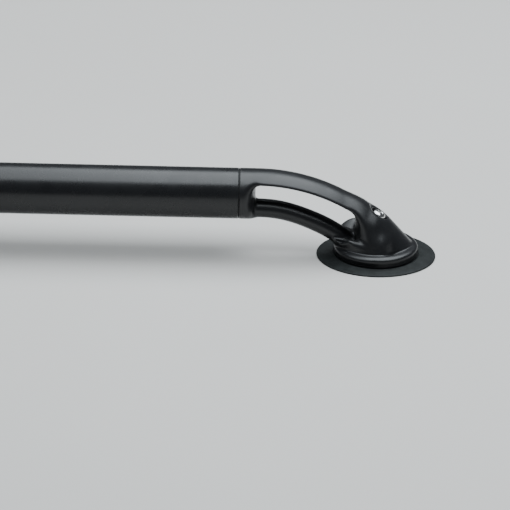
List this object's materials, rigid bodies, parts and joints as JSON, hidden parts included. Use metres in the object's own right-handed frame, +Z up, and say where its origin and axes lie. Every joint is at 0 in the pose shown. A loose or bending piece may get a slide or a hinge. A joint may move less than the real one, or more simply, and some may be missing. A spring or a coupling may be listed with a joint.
{
  "type": "truck bed side rail",
  "caption": "Round tubular side rail for a pickup bed, with cast end feet split by tie-down windows and clamped into the stake pockets by a tilted bolt and hooked jaw.",
  "frame": {"origin": "midway between the two feet, on the plane of the gaskets' undersides, which is the top of the truck's bed rail", "axes": "+X along the rail, +Z up, away from the truck's bed rail"},
  "size_m": [1.439, 0.11, 0.1172],
  "materials": {
    "tube_coat": "satin black powder coat on steel tube",
    "casting_coat": "cast aluminium under satin black powder coat",
    "gasket_rubber": "matte dark grey moulded rubber",
    "seal_rubber": "matte black rubber",
    "stainless": "bright stainless steel",
    "zinc_steel": "zinc-plated steel",
    "jaw_steel": "zinc-nickel plated cast jaw, dull grey"
  },
  "bodies": {
    "root": {"rail_tube": "tube_coat", "front_casting": "casting_coat", "rear_casting": "casting_coat", "front_seam_seal": "seal_rubber", "rear_seam_seal": "seal_rubber", "front_tube_screw": "zinc_steel", "rear_tube_screw": "zinc_steel", "front_gasket": "gasket_rubber", "rear_gasket": "gasket_rubber", "front_washer": "stainless", "rear_washer": "stainless"},
    "front_clamp_bolt": {"front_bolt": "stainless", "front_bolt_clip": "zinc_steel"},
    "front_clamp_jaw": {"front_jaw": "jaw_steel", "front_jaw_pad": "seal_rubber", "front_nut": "zinc_steel"},
    "rear_clamp_bolt": {"rear_bolt": "stainless", "rear_bolt_clip": "zinc_steel"},
    "rear_clamp_jaw": {"rear_jaw": "jaw_steel", "rear_jaw_pad": "seal_rubber", "rear_nut": "zinc_steel"}
  },
  "joints": [
    {"name": "front_bolt_turn", "type": "hinge", "parent": "root", "child": "front_clamp_bolt", "pos_m": [0.6602, 0, 0.041], "axis": [0.5, 0, 0.866], "range_deg": [0, 3600]},
    {"name": "front_jaw_travel", "type": "slide", "parent": "root", "child": "front_clamp_jaw", "axis": [-0.5, 0, -0.866], "range_m": [0, 0.0125]},
    {"name": "rear_bolt_turn", "type": "hinge", "parent": "root", "child": "rear_clamp_bolt", "pos_m": [-0.6602, 0, 0.041], "axis": [-0.5, 0, 0.866], "range_deg": [0, 3600]},
    {"name": "rear_jaw_travel", "type": "slide", "parent": "root", "child": "rear_clamp_jaw", "axis": [0.5, 0, -0.866], "range_m": [0, 0.0125]}
  ],
  "couplings": [
    {"joint": "front_bolt_turn", "follows": "front_jaw_travel", "rad_per_m": 5026.5},
    {"joint": "rear_bolt_turn", "follows": "rear_jaw_travel", "rad_per_m": 5026.5}
  ]
}
